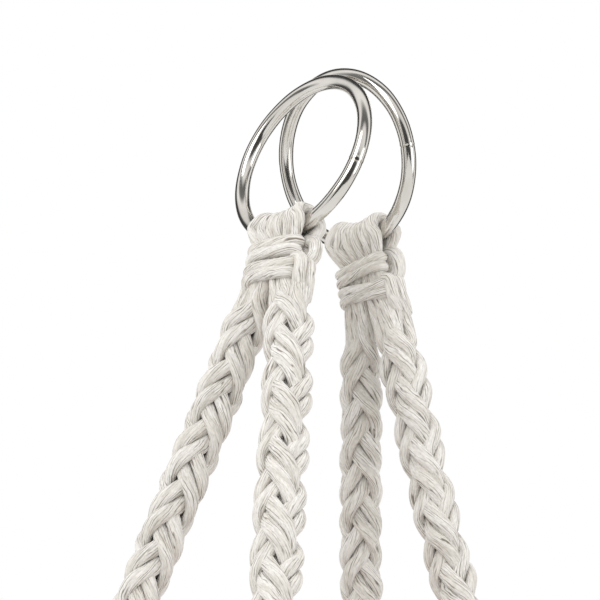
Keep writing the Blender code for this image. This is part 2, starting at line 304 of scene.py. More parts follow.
class Nodes:
    """Shorthand for building a material's node tree."""

    def __init__(self, name):
        self.material = bpy.data.materials.new(name)
        self.material.use_nodes = True
        self.tree = self.material.node_tree
        self.shader = self.tree.nodes["Principled BSDF"]

    def node(self, kind, **values):
        made = self.tree.nodes.new("ShaderNode" + kind)
        for key, value in values.items():
            if hasattr(made, key):
                setattr(made, key, value)
            else:
                made.inputs[key.replace("_", " ")].default_value = value
        return made

    def link(self, source, target):
        self.tree.links.new(source, target)

    def ramp(self, source, *stops):
        made = self.node("ValToRGB")
        elements = made.color_ramp.elements
        while len(elements) < len(stops):
            elements.new(0.5)
        for element, (position, colour) in zip(elements, stops):
            element.position = position
            element.color = (*colour, 1.0)
        self.link(source, made.inputs["Fac"])
        return made.outputs["Color"]

    def blend(self, kind, share, first, second):
        """Mixes two colours. The share is a number or a socket."""
        made = self.node("Mix", data_type="RGBA", blend_type=kind)
        factor, a, b = made.inputs[0], made.inputs[6], made.inputs[7]
        for socket, value in ((factor, share), (a, first), (b, second)):
            if isinstance(value, bpy.types.NodeSocket):
                self.link(value, socket)
            elif isinstance(value, tuple):
                socket.default_value = (*value, 1.0)
            else:
                socket.default_value = value
        return made.outputs[2]

    def stretched_noise(self, vector, scale, detail, roughness=0.6):
        mapping = self.node("Mapping")
        mapping.inputs["Scale"].default_value = scale
        self.link(vector, mapping.inputs["Vector"])
        noise = self.node("TexNoise", Scale=1.0, Detail=detail, Roughness=roughness)
        self.link(mapping.outputs["Vector"], noise.inputs["Vector"])
        return noise.outputs["Fac"]


def cotton_material(name):
    """Undyed cotton: soft yarns that run along the cord, with painted shade in fine dark lines between them
    and in the grooves between the plies.
    """
    n = Nodes(name)
    thread = n.node("Attribute", attribute_name="thread").outputs["Vector"]
    groove = n.node("Attribute", attribute_name="groove").outputs["Fac"]
    shade = n.node("Attribute", attribute_name="shade").outputs["Fac"]
    parts = n.node("SeparateXYZ")
    n.link(thread, parts.inputs[0])
    angle = n.node("Math", operation="ARCTAN2")
    n.link(parts.outputs["Z"], angle.inputs[0])
    n.link(parts.outputs["Y"], angle.inputs[1])
    wander = n.node("Math", operation="MULTIPLY")
    wander.inputs[1].default_value = 3.6
    n.link(n.stretched_noise(thread, (75.0, 330.0, 330.0), 2.0), wander.inputs[0])
    yarns = n.node("Math", operation="MULTIPLY_ADD")
    yarns.inputs[1].default_value = YARNS / (2 * math.pi)
    n.link(angle.outputs[0], yarns.inputs[0])
    n.link(wander.outputs[0], yarns.inputs[2])
    apart = n.node("Math", operation="PINGPONG")
    apart.inputs[1].default_value = 0.5
    n.link(yarns.outputs[0], apart.inputs[0])
    # Painted shade: fine dark lines between the yarns stand for the shade in the crevices between them; this
    # mask sets where they show dark and where they fade.
    gaps = n.stretched_noise(thread, (120.0, 420.0, 420.0), 1.0)
    yarn_crevice_shade_mask = n.ramp(gaps, (0.43, (0.08,) * 3), (0.60, (0.90,) * 3))
    fibres = n.stretched_noise(thread, (650.0, 2600.0, 2600.0), 3.0)
    flecks = n.stretched_noise(thread, (90.0, 260.0, 260.0), 2.0)
    lines = n.node("MapRange", interpolation_type="SMOOTHSTEP")
    lines.inputs["From Max"].default_value = 0.24
    n.link(apart.outputs[0], lines.inputs["Value"])
    dark, plain, pale = (0.58, 0.560, 0.526), (0.75, 0.729, 0.693), (0.84, 0.821, 0.788)
    colour = n.ramp(fibres, (0.30, dark), (0.50, plain), (0.70, pale))
    # The painted shade colour of the crevices between the yarns.
    yarn_crevice_painted_shade = n.ramp(lines.outputs["Result"], (0.0, (0.22, 0.198, 0.170)), (0.9, (1.0, 1.0, 1.0)))
    colour = n.blend("MULTIPLY", yarn_crevice_shade_mask, colour, yarn_crevice_painted_shade)
    # Painted shade: the grooves between the plies are darkened, standing for the shade that falls in them.
    ply_groove_painted_shade = n.ramp(groove, (0.55, (1.0, 1.0, 1.0)), (1.0, (0.55, 0.52, 0.48)))
    colour = n.blend("MULTIPLY", 0.35, colour, ply_groove_painted_shade)
    fleck_colour = n.ramp(flecks, (0.36, (0.92, 0.905, 0.88)), (0.60, (1.0, 1.0, 1.0)))
    colour = n.blend("MULTIPLY", 1.0, colour, fleck_colour)
    shade_colour = n.ramp(shade, (0.0, (0.95, 0.945, 0.935)), (1.0, (1.02, 1.02, 1.02)))
    colour = n.blend("MULTIPLY", 1.0, colour, shade_colour)
    n.link(colour, n.shader.inputs["Base Color"])
    n.shader.inputs["Roughness"].default_value = 1.0
    n.shader.inputs["Specular IOR Level"].default_value = 0.08
    n.shader.inputs["Sheen Weight"].default_value = 0.15
    n.shader.inputs["Sheen Roughness"].default_value = 0.6
    coarse = n.node("Bump", Strength=0.45, Distance=0.00022)
    n.link(lines.outputs["Result"], coarse.inputs["Height"])
    fine = n.node("Bump", Strength=0.45, Distance=0.00022)
    n.link(fibres, fine.inputs["Height"])
    n.link(coarse.outputs["Normal"], fine.inputs["Normal"])
    n.link(fine.outputs["Normal"], n.shader.inputs["Normal"])
    return n.material


def nickel_material():
    """Polished nickel: faint waves from drawing the wire, polishing marks and small dull patches."""
    n = Nodes("polished_nickel")
    wire = n.node("Attribute", attribute_name="wire").outputs["Vector"]
    marks = n.stretched_noise(wire, (60.0, 2600.0, 2600.0), 3.0)
    patches = n.stretched_noise(wire, (70.0, 160.0, 160.0), 2.0)
    colour = n.ramp(patches, (0.35, (0.70, 0.675, 0.63)), (0.65, (0.80, 0.78, 0.745)))
    weld = n.node("Attribute", attribute_name="weld").outputs["Fac"]
    colour = n.blend("MIX", weld, colour, (0.42, 0.385, 0.33))
    n.link(colour, n.shader.inputs["Base Color"])
    n.shader.inputs["Metallic"].default_value = 1.0
    rough = n.node("MapRange")
    rough.inputs["From Min"].default_value = 0.3
    rough.inputs["From Max"].default_value = 0.7
    rough.inputs["To Min"].default_value = 0.09
    rough.inputs["To Max"].default_value = 0.15
    n.link(marks, rough.inputs["Value"])
    n.link(rough.outputs["Result"], n.shader.inputs["Roughness"])
    bump = n.node("Bump", Strength=0.15, Distance=0.00001)
    n.link(marks, bump.inputs["Height"])
    n.link(bump.outputs["Normal"], n.shader.inputs["Normal"])
    return n.material


def clay_material():
    """Unglazed terracotta: fine grit, pale bloom and throwing lines."""
    n = Nodes("terracotta_clay")
    place = n.node("TexCoord").outputs["Object"]
    bloom = n.stretched_noise(place, (22.0, 22.0, 34.0), 4.0)
    grit = n.stretched_noise(place, (900.0, 900.0, 900.0), 3.0)
    lines = n.stretched_noise(place, (9.0, 9.0, 620.0), 2.0)
    dark, plain, pale = (0.44, 0.170, 0.085), (0.54, 0.225, 0.120), (0.66, 0.36, 0.24)
    colour = n.ramp(bloom, (0.30, dark), (0.55, plain), (0.78, pale))
    speck = n.ramp(grit, (0.30, (0.72, 0.70, 0.68)), (0.52, (1.0, 1.0, 1.0)))
    colour = n.blend("MULTIPLY", 0.7, colour, speck)
    band = n.ramp(lines, (0.35, (0.90, 0.88, 0.86)), (0.65, (1.0, 1.0, 1.0)))
    colour = n.blend("MULTIPLY", 0.8, colour, band)
    n.link(colour, n.shader.inputs["Base Color"])
    n.shader.inputs["Roughness"].default_value = 0.88
    n.shader.inputs["Specular IOR Level"].default_value = 0.3
    coarse = n.node("Bump", Strength=0.5, Distance=0.0005)
    n.link(lines, coarse.inputs["Height"])
    fine = n.node("Bump", Strength=0.5, Distance=0.0002)
    n.link(grit, fine.inputs["Height"])
    n.link(coarse.outputs["Normal"], fine.inputs["Normal"])
    n.link(fine.outputs["Normal"], n.shader.inputs["Normal"])
    return n.material


cotton = cotton_material("cotton")
nickel = nickel_material()
clay = clay_material()


# ---------------------------------------------------------------- frame

joints = {j["name"]: j for j in frame["joints"]}


def camera_axes():
    """Unit vectors back towards the camera, to its right and up, with its roll."""
    az, el = CAMERA_AZIMUTH, CAMERA_ELEVATION
    back = np.array((math.sin(az) * math.cos(el), -math.cos(az) * math.cos(el), math.sin(el)))
    right = np.array((math.cos(az), math.sin(az), 0.0))
    up = np.cross(back, right)
    tilt_right = math.cos(CAMERA_ROLL) * right + math.sin(CAMERA_ROLL) * up
    tilt_up = -math.sin(CAMERA_ROLL) * right + math.cos(CAMERA_ROLL) * up
    return back, tilt_right, tilt_up


FRONT_OF_PLAITS = camera_axes()[0]  # the side that the plaits' crossings face


class KnotFrame:
    """A knot's place: its origin, and unit vectors down along it, across it and out of its near face."""

    def __init__(self, origin, fall, across):
        self.origin = np.asarray(origin, float)
        self.fall = unit(fall)
        self.across = unit(across - self.fall * (across @ self.fall))
        self.face = np.cross(self.across, self.fall)

    def at(self, across, out, down):
        return (
            self.origin
            + np.multiply.outer(across, self.across)
            + np.multiply.outer(out, self.face)
            + np.multiply.outer(down, self.fall)
        )


def ring_place(name):
    """The ring's centre, its foot, and the radius between them, from its two joints."""
    centre = np.array(joints[name + "_ring_spin"]["pos_m"])
    foot = np.array(joints[name + "_loops_tilt"]["pos_m"])
    return centre, foot, float(np.linalg.norm(foot - centre))


def top_knot_frame(name):
    _, foot, _ = ring_place(name)
    release = np.array((ARM_TOP_X[name], ARM_TOP_MID_Y, ARM_TOP_Z))
    return KnotFrame(foot, release - foot, ACROSS)


# ---------------------------------------------------------------- rings

def make_ring(name):
    """A ring of polished wire, with the bead and the step of its butt weld."""
    centre, foot, reach = ring_place(name)
    down = unit(foot - centre)
    axis = unit(np.cross(down, ACROSS))
    stations, sides = 420, 36
    turn = 2 * math.pi * np.arange(stations) / stations
    around = 2 * math.pi * np.arange(sides) / sides
    outward = np.cos(turn)[:, None] * down - np.sin(turn)[:, None] * ACROSS
    weld_distance = (turn - WELD_ANGLE[name]) * reach
    seam = 0.00010 * np.sin(3 * around)[None, :] + weld_distance[:, None]
    raised = 0.00013 * np.exp(-((seam - 0.0003) / 0.00035) ** 2)
    sunk = 0.00022 * np.exp(-((seam + 0.0004) / 0.00028) ** 2)
    bead = raised - sunk
    ragged = 0.5 + 0.5 * np.sin(5 * around + 1.3) * np.sin(2 * around)
    wave = 0.00002 * (np.sin(9 * turn + 0.4) + np.sin(14 * turn + 2.0))
    squeeze = 0.00004 * np.cos(2 * around[None, :] + 5 * turn[:, None])
    radius = WIRE_RADIUS + wave[:, None] + squeeze + bead * (0.55 + 0.45 * ragged[None, :])
    to_rim = np.cos(around)[None, :, None] * outward[:, None, :]
    to_side = np.sin(around)[None, :, None] * axis[None, None, :]
    points = centre + outward[:, None, :] * reach + radius[..., None] * (to_rim + to_side)
    index = np.arange(stations * sides).reshape(stations, sides)
    beside = np.roll(index, -1, axis=1)
    ahead = np.roll(index, -1, axis=0)
    quads = np.stack([index, ahead, np.roll(ahead, -1, axis=1), beside], -1).reshape(-1, 4)
    if np.cross(ACROSS, axis) @ down > 0:
        quads = quads[:, ::-1]
    thing = new_piece(name + "_ring_wire", points.reshape(-1, 3), [quads], nickel)
    along = np.broadcast_to((turn * reach)[:, None], (stations, sides))
    wire_y, wire_z = (WIRE_RADIUS * f(around)[None, :].repeat(stations, 0) for f in (np.cos, np.sin))
    wire = np.stack([along, wire_y, wire_z], -1)
    thing.data.attributes.new("wire", "FLOAT_VECTOR", "POINT").data.foreach_set(
        "vector", wire.astype(np.float32).ravel()
    )
    burnt = 0.8 * np.exp(-((seam + 0.0003) / 0.00035) ** 2)
    thing.data.attributes.new("weld", "FLOAT", "POINT").data.foreach_set(
        "value", burnt.astype(np.float32).ravel()
    )
    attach(thing, name + "_ring")
    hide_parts(name + "_ring")


# ---------------------------------------------------------------- top knots

def core_column(i):
    """How far across the knot its i-th core cord lies."""
    return (KNOT_HALF_WIDTH - CORD * 0.45) * (2 * i / (LOOP_COUNT - 1) - 1)


def make_loops(name):
    """The cords folded over the ring, from inside the upper bar to inside it again."""
    centre, foot, reach = ring_place(name)
    knot = top_knot_frame(name)
    down = unit(foot - centre)
    axis = unit(np.cross(down, ACROSS))
    near = axis if axis @ knot.face > 0 else -axis
    around_wire = WIRE_RADIUS + CORD / 2 + 0.0002
    cords = Cords()
    for i in range(LOOP_COUNT):
        turn = LOOP_SPREAD * (2 * i / (LOOP_COUNT - 1) - 1)
        outward = math.cos(turn) * down + math.sin(turn) * ACROSS
        seat = centre + outward * reach
        column = core_column(i)
        over = np.radians((-18, 12, 45, 78, 102, 135, 168, 198))
        lift = around_wire * (1 + 0.06 * chance.uniform(0, 1))
        slip = 0.0004 * chance.uniform(-1, 1, len(over))
        bend = [
            seat + lift * (math.cos(b) * near - math.sin(b) * outward) + ACROSS * s
            for b, s in zip(over, slip)
        ]
        front = [knot.at(column, ROW_DEPTH, d) for d in (0.0125, 0.0090)]
        back = [knot.at(column, -ROW_DEPTH, d) for d in (0.0090, 0.0125)]
        path = spline([*front, *bend, *back])
        from_end = np.minimum(np.arange(len(path)), np.arange(len(path))[::-1]) * STATION
        size = PRESSED + (1 - PRESSED) * smooth_step((from_end - 0.005) / 0.009)
        cords.add(path, diameter=CORD * size)
    loops = cords.piece(name + "_ring_cords", cotton, body=None, nodes=(name + "_loops",))
    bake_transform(loops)


def bar_path(knot, half_width, half_depth, depth, slope, level):
    """Once around the knot, with both ends tucked in at its far end of -across."""
    turn = np.linspace(-math.pi + 0.12, math.pi - 0.12, 41)
    power = 0.62
    x = half_width * np.sign(np.cos(turn)) * np.abs(np.cos(turn)) ** power
    y = half_depth * np.sign(np.sin(turn)) * np.abs(np.sin(turn)) ** power
    tuck = smooth_step((np.abs(turn) - math.pi + 0.55) / 0.45)
    x = x + tuck * 0.0022
    down = depth + level + slope * x * (y / half_depth)
    down = down + 0.00030 * np.sin(2 * turn + level * 900)
    return spline([knot.at(a, b, d) for a, b, d in zip(x, y, down)])


def make_bar(cords, knot, half_width, half_depth, depth, slope=0.0, diameter=CORD):
    """A flat turn of doubled cord around the knot's core."""
    for level in (-0.40 * diameter, 0.40 * diameter):
        cords.add(bar_path(knot, half_width, half_depth, depth, slope, level), diameter)


def make_side_turn(cords, knot, half_width, side, top, end, bulge, diameter=CORD, out=0.0):
    """The upright turn of doubled cord beside the core, and the working cord that comes down to it.

    The working cord's first three depths are those of a top knot. In the other knots, whose turns start
    elsewhere, it doubles back on itself.
    """
    fold_aside = np.array((-0.0034, 0.0002, 0.0018, 0.0018, -0.0024))
    fold_aside = half_width + fold_aside + 0.6 * (bulge - 0.0026)
    fold_out = np.array((-0.0028, -0.0036, -0.0034, -0.0026, -0.0016))
    fold_down = np.array((0.0062, 0.0078, 0.0108, top - 0.0022, top + 0.0004))
    cords.add(spline(knot.at(side * fold_aside, fold_out, fold_down)), diameter * 1.1)
    turn_aside = half_width + np.array((-0.0016, 0.60 * bulge, bulge, bulge, 0.7 * bulge, -0.0022))
    turn_down = top + (end - top) * np.array((0.0, 0.07, 0.28, 0.58, 0.84, 1.0))
    turn_in = np.array((0.0, 0.0, 0.0, 0.0, 0.0012, 0.0048))
    for row in (-0.47 * diameter, 0.47 * diameter):
        cords.add(spline(knot.at(side * turn_aside, row + out - turn_in, turn_down)), diameter)


def make_top_knot(name):
    """The square knot under a ring: two bars and the turn that locks them."""
    knot = top_knot_frame(name)
    cord = BAR_CORD[name]
    half_width = KNOT_HALF_WIDTH + cord * 0.42
    half_depth = KNOT_HALF_DEPTH + cord * 0.40
    upper_slope, lower_slope = BAR_SLOPE[name]
    upper, lower = UPPER_BAR_DEPTH[name], LOWER_BAR_DEPTH[name]
    for part, depth, slope in (("upper", upper, upper_slope), ("lower", lower, lower_slope)):
        cords = Cords()
        make_bar(cords, knot, half_width, half_depth, depth, slope, cord)
        cords.piece(f"{name}_{part}_bar", cotton, nodes=(f"{name}_{part}_wrap",))
    cords = Cords()
    top, end = upper + SIDE_TOP, lower + SIDE_END
    make_side_turn(cords, knot, half_width, -1, top, end, SIDE_BULGE[name], SIDE_CORD, SIDE_OUT[name])
    cords.piece(name + "_side_cords", cotton, nodes=(name + "_side_turn",))


# ---------------------------------------------------------------- plaited arms

def arm_line(name, hand):
    """The arm's centre line, from where the knot lets go of it to the top of its rim knot."""
    node = frame["nodes"][f"{name}_{hand}_arm"]
    points = np.array([v.co for v in node.data.vertices])
    order = points[np.argsort(-points[:, 2])]
    breaks = np.nonzero(-np.diff(order[:, 2]) > 0.01)[0] + 1
    centres = [group.min(0) / 2 + group.max(0) / 2 for group in np.split(order, breaks)]
    side = 1 if hand == "left" else -1
    top = np.array((ARM_TOP_X[name], ARM_TOP_MID_Y + side * ARM_TOP_HALF_GAP, ARM_TOP_Z))
    return spline([top, *centres[1:]], 0.001)


def plait_offsets(run, strand, cord, label):
    """How far a cord lies from the plait's centre line, towards its front and towards its right.

    Two strands turn one way and two the other, each of two cords side by side. Seen along the plait,
    one pair goes around an upright ellipse and the other around a level one, so each crosses over the
    other at its far ends.
    """
    outer, column, first_crossing = PLAITS[label]
    inner = outer - PLAIT_SINK
    way = 1 if strand < 2 else -1
    tall, wide = (outer, inner) if way > 0 else (inner, outer)
    phase = way * 2 * math.pi * (run - first_crossing) / PLAIT_LEAD + math.pi * (strand % 2)
    u, v = tall * np.cos(phase), wide * np.sin(phase)
    du, dv = -tall * np.sin(phase), wide * np.cos(phase)
    speed = np.hypot(du, dv)
    slant = np.sqrt(1 + (2 * math.pi * speed / PLAIT_LEAD) ** 2)
    aside = (0.5 if cord else -0.5) * PLAIT_SPACING * slant / speed
    u, v = u + aside * du, v + aside * dv
    return u * math.cos(column) - v * math.sin(column), u * math.sin(column) + v * math.cos(column)


def make_arm(name, hand):
    """Eight cords: out of the knot's core, through the plait and into the rim knot."""
    label = f"{name}_{hand}"
    side = 1 if hand == "left" else -1
    knot = top_knot_frame(name)
    line = arm_line(name, hand)
    run = lengths(line)
    tangent = unit(np.gradient(line, axis=0))
    front = unit(FRONT_OF_PLAITS - tangent * (tangent @ FRONT_OF_PLAITS)[:, None])
    right = np.cross(front, tangent)
    rim = rim_knot_frame(name, hand)
    half = LOOP_COUNT // 2
    columns = [core_column(i) for i in (range(half, LOOP_COUNT) if hand == "left" else range(half))]
    columns.append(side * (KNOT_HALF_WIDTH + 0.0010))
    mid_column = sum(columns) / 4

    def slot_angle(slot):
        """The direction, around the plait's start, of a cord's place in the knot."""
        place = (slot[0] - mid_column) * knot.across + slot[1] * knot.face
        return math.atan2(place @ right[0], place @ front[0])

    slots = sorted(((a, o) for a in columns for o in (ROW_DEPTH, -ROW_DEPTH)), key=slot_angle)
    starts = [(*plait_offsets(PLAIT_START / 2, s, c, label), s, c) for s in range(4) for c in range(2)]
    starts = sorted((math.atan2(r, f), s, c) for f, r, s, c in starts)
    into = smooth_step(run / PLAIT_START)
    outof = smooth_step((run - run[-1] + 0.012) / 0.012)
    cords = Cords()
    for k, (_, strand, cord) in enumerate(starts):
        a, o = slots[k]
        forward, aside = plait_offsets(run, strand, cord, label)
        waver = 1 + 0.04 * np.sin(run * 2 * math.pi / 0.031 + chance.uniform(0, 6.3))
        plaited = (waver * forward)[:, None] * front + (waver * aside)[:, None] * right
        held = (a - mid_column) * knot.across + o * knot.face
        rim_across = (k // 2 - 1.5) * CORD * 0.85
        rim_out = (1 if k % 2 else -1) * ROW_DEPTH
        rim_slot = rim_across * rim.across + rim_out * rim.face
        offset = held * (1 - into)[:, None] + plaited * (into * (1 - outof))[:, None]
        offset = offset + rim_slot * outof[:, None]
        if abs(a) > KNOT_HALF_WIDTH:
            swing = side * (KNOT_HALF_WIDTH + SWING[name])
            o = o if hand == "left" else o - 0.0020
            lead = [
                knot.at(side * 0.0075, o * 0.9, LOWER_BAR_DEPTH[name] - 0.001),
                knot.at(swing, o * 0.9, LOWER_BAR_DEPTH[name] + 0.0012),
                knot.at(swing + side * 0.0012, o * 0.9, LOWER_BAR_DEPTH[name] + 0.0060),
            ]
            body = (line + offset)[9:]
        else:
            lead = [knot.at(a, o, d) for d in (CORE_START_DEPTH, 0.0140, 0.0180, 0.0215)]
            body = (line + offset)[4:]
        tail = [rim.at(rim_across, rim_out, d) for d in (0.004, 0.012)]
        path = spline(np.vstack([lead, body[::3], tail]))
        nearest = line[np.abs(path[:, None, 2] - line[None, :, 2]).argmin(1)]
        cords.add(path, diameter=PLAIT_CORD, press=PLAIT_PRESS, middle=nearest + OFF_MIDDLE)
    core = [knot.at(mid_column, 0.0, CORE_START_DEPTH), *line[6::12], rim.at(0.0, 0.0, 0.008)]
    cords.add(spline(core, 0.003), diameter=0.0060)
    nodes = (f"{label}_arm", f"{name}_knot_core")
    cords.piece(label + "_plait", cotton, nodes=nodes)


# ---------------------------------------------------------------- cradle

def polar(radius, angle, z):
    return np.array((radius * math.cos(angle), radius * math.sin(angle), z))


def rim_knot_frame(name, hand):
    """The rim knot's frame: its origin is its top, and its near face looks away from the pot."""
    label = f"{name}_{hand}"
    low, high = (np.array(corner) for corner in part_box(label + "_rim_knot"))
    middle = (low + high) / 2
    line_end = arm_line(name, hand)
    fall = unit(line_end[-1] - line_end[-20])
    top = middle - fall * RIM_KNOT_LENGTH / 2
    outward = np.array((middle[0], middle[1], 0.0))
    return KnotFrame(top, fall, np.cross(fall, unit(outward)))


def make_square_knot(name, knot, half_width, half_depth, depths, nodes, diameter=CORD):
    """A knot of doubled cord around a flat bundle: a bar at each depth, and turns at its sides."""
    cords = Cords()
    for depth in depths:
        make_bar(cords, knot, half_width, half_depth, depth, 0.06, diameter)
    for i, (high, low) in enumerate(zip(depths, depths[1:])):
        side = -1 if i % 2 == 0 else 1
        make_side_turn(cords, knot, half_width, side, high + 0.0005, low + 0.0015, 0.0026, diameter)
        make_side_turn(cords, knot, half_width, -side, high - 0.0012, high + 0.0028, 0.0016, diameter)
    return cords.piece(name, cotton, nodes=nodes)


def make_rim_knot(name, hand):
    knot = rim_knot_frame(name, hand)
    label = f"{name}_{hand}_rim_knot"
    make_square_knot(label + "_cords", knot, 0.0085, 0.0052, (0.0048, 0.0120, 0.0192), (label,))


def wall_radius(z):
    """The pot's outer radius at a height on its straight wall."""
    share = (z - POT_FOOT_Z) / (POT_RIM_Z - POT_FOOT_Z)
    return POT_FOOT_RADIUS + share * (POT_RIM_RADIUS - POT_FOOT_RADIUS)


def mid_knot_frame(place):
    """The mid knot's frame, flat against the pot's wall, with its origin at its top."""
    angle = MID_ANGLES[place]
    low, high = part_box(place + "_mid_knot")
    top_z, foot_z = high[2] - 0.001, low[2] + 0.001
    away = 0.0062
    top = polar(wall_radius(top_z) + away, angle, top_z)
    foot = polar(wall_radius(foot_z) + away, angle, foot_z)
    tangent = np.array((-math.sin(angle), math.cos(angle), 0.0))
    return KnotFrame(top, foot - top, -tangent), float(np.linalg.norm(foot - top))


def make_mid_knot(place):
    knot, length = mid_knot_frame(place)
    name = place + "_mid_knot"
    depths = (length * 0.14, length * 0.50, length * 0.86)
    make_square_knot(name + "_cords", knot, 0.0078, 0.0037, depths, (name,), diameter=0.0030)


def make_net_leg(name, hand, goal):
    """Four cords, laid together like a rope, from a rim knot along the pot's wall into a mid knot."""
    label = f"{name}_{hand}_net_to_{goal}"
    rim = rim_knot_frame(name, hand)
    mid, _ = mid_knot_frame(goal)
    foot = rim.at(0.0, 0.0, RIM_KNOT_LENGTH)
    arm_angle = math.atan2(foot[1], foot[0])
    mid_angle = MID_ANGLES[goal]
    step = math.remainder(mid_angle - arm_angle, 2 * math.pi)
    way = math.copysign(1, step)
    start_angle = arm_angle + way * math.radians(2.4)
    end_angle = arm_angle + step - way * math.radians(2.6)
    start_z, end_z = foot[2] - 0.0040, mid.origin[2] + 0.0048
    start_radius = math.hypot(foot[0], foot[1]) - 0.002
    lift = start_radius - (wall_radius(start_z) + NET_RADIUS + WALL_GAP)
    line = [
        rim.at(-way * 0.0024, 0.0, RIM_KNOT_LENGTH * 0.5),
        rim.at(-way * 0.0030, 0.0, RIM_KNOT_LENGTH * 0.85),
    ]
    for i in range(13):
        t = i / 12
        z = start_z + (end_z - start_z) * t
        radius = wall_radius(z) + NET_RADIUS + WALL_GAP + 0.0005 + lift * (1 - t) ** 3
        line.append(polar(radius, start_angle + (end_angle - start_angle) * t, z))
    off_middle = polar(1, end_angle, 0) - polar(1, mid_angle, 0)
    side = 0.0030 * (1 if off_middle @ mid.across > 0 else -1)
    line += [mid.at(side * 1.1, -0.0008, 0.0010), mid.at(side * 0.9, 0.0, 0.0100)]
    line = spline(line, 0.001)
    run = lengths(line)
    _, first, second = travelling_frame(line)
    cords = Cords()
    for k in range(4):
        turn = math.pi / 2 * k + 2 * math.pi * run / 0.042
        ring = 0.00235 * (np.cos(turn)[:, None] * first + np.sin(turn)[:, None] * second)
        cords.add(even(line + ring, STATION * 1.2), diameter=0.0031, per_ply=4)
    cords.piece(label + "_cords", cotton, nodes=(label,))


def gathered_places(angle):
    """Where the eight cords of one side stand in the gathered bundle, the outer four last."""
    return [polar(radius, angle + offset, 0.0)[:2] for radius, offsets in GATHER_SLOTS for offset in offsets]


def make_under_leg(place):
    """Eight cords in two flat rows, down the wall, around the pot's bottom edge and into the gathering."""
    angle = MID_ANGLES[place]
    tangent = np.array((-math.sin(angle), math.cos(angle), 0.0))
    mid, length = mid_knot_frame(place)
    low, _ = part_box("pot")
    base_z = low[2]
    arc = POT_FOOT_Z - base_z
    cords = Cords()
    places = gathered_places(angle)
    for k in range(8):
        outer_row = k >= 4
        column = (k - 5.5) if outer_row else (-1.5, -0.5, 0.5, 1.5)[k]
        goal = places[k] if outer_row else places[(1, 2, 0, 3)[k]]
        aside = column * 0.0032
        lift = 0.0020 + (0.0031 if outer_row else 0.0)
        row_out = 0.0013 if outer_row else -0.0013
        path = [mid.at(-aside * 0.85, row_out, d) for d in (length * 0.45, length * 0.9)]
        start_z = mid.at(0, 0, length)[2] - 0.006
        for i in range(5):
            z = start_z + (POT_FOOT_Z - start_z) * i / 5
            path.append(polar(wall_radius(z) + lift, angle, z) + tangent * aside)
        for i in range(9):
            turn = math.pi / 2 * i / 8
            radius = POT_FOOT_RADIUS - arc + (arc + lift) * math.cos(turn)
            height = POT_FOOT_Z - (arc + lift) * math.sin(turn)
            squeeze = 1 - 0.12 * i / 8
            path.append(polar(radius, angle, height) + tangent * aside * squeeze)
        under_z = base_z - lift
        goal_radius = goal @ np.array((math.cos(angle), math.sin(angle)))
        goal_aside = goal @ tangent[:2]
        bend = 0.0045
        for share in (0.25, 0.5, 0.75, 0.93):
            radius = 0.054 + (goal_radius + bend - 0.054) * share
            here = aside * 0.88 + (goal_aside - aside * 0.88) * share**2
            path.append(polar(radius, angle, under_z - 0.0012 * share**2) + tangent * here)
        path.append(np.array((*goal, under_z - bend)) + 0.15 * bend * polar(1, angle, 0.0))
        path.append(np.array((*goal, GATHER_TOP_Z - 0.004)))
        path.append(np.array((*goal, GATHER_TOP_Z - 0.010)))
        cords.add(spline(path, STATION * 1.2), diameter=0.0032, per_ply=4)
    cords.piece(place + "_under_cords", cotton, nodes=(place + "_under_leg",))


def make_gathering():
    """The gathered bundle, and the cord wound around it."""
    bundle = Cords()
    for angle in MID_ANGLES.values():
        for x, y in gathered_places(angle):
            drop = [(x, y, z) for z in np.linspace(GATHER_TOP_Z - 0.002, GATHER_END_Z, 8)]
            bundle.add(spline(drop, 0.002), diameter=GATHER_DIAMETER, per_ply=4)
    bundle.piece("gathered_bundle", cotton, nodes=("gathered_cords",))
    low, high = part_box("gathering_wrap")
    outside = high[0] - CORD / 2
    pitch = 0.0033
    turns = (high[2] - low[2] - CORD) / pitch
    at = np.linspace(0, 2 * math.pi * turns, int(40 * turns))
    z = high[2] - CORD / 2 - pitch * at / (2 * math.pi)
    radius = outside + 0.00015 * np.sin(at * 3.1)
    ends = np.minimum(at, at[-1] - at)
    radius = radius - 0.0030 * (1 - smooth_step(ends / 0.8))
    winding = Cords()
    winding.add(even(np.stack([radius * np.cos(at - 2.0), radius * np.sin(at - 2.0), z], 1), STATION))
    winding.piece("gathering_winding", cotton, nodes=("gathering_wrap",))


def make_tassel():
    """The free ends of the gathered cords, hanging in a loose tassel."""
    low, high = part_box("tassel")
    drop = high[2] - low[2]
    spread = (high[0] - low[0]) / 2
    number = 0
    for angle in MID_ANGLES.values():
        for x, y in gathered_places(angle):
            number += 1
            away = math.hypot(x, y)
            outward = np.array((x, y)) / away
            length = drop - 0.0015 - 0.0060 * chance.uniform(0, 1)
            reach = min(away / 0.0087, 1.0) * (spread - 0.0035) * chance.uniform(0.80, 1.0)
            sideways = np.array((-outward[1], outward[0])) * chance.uniform(-0.0022, 0.0022)
            phase = chance.uniform(0, 6.3)
            points = []
            for i in range(17):
                t = i / 16
                fan = (reach - away) * (1 - (1 - t) ** 1.7)
                sway = sideways * math.sin(math.pi * t) + outward * 0.0006 * t * math.sin(5 * t + phase)
                flat = outward * (away + fan) + sway
                points.append((flat[0], flat[1], GATHER_END_Z - length * t))
            path = spline(points, STATION * 1.3)
            cords = Cords()
            cords.add(path, diameter=GATHER_DIAMETER, per_ply=4, flare=0.14)
            piece = cords.piece(f"tassel_cord_{number:02d}", cotton, nodes=("tassel",))


# ---------------------------------------------------------------- pot

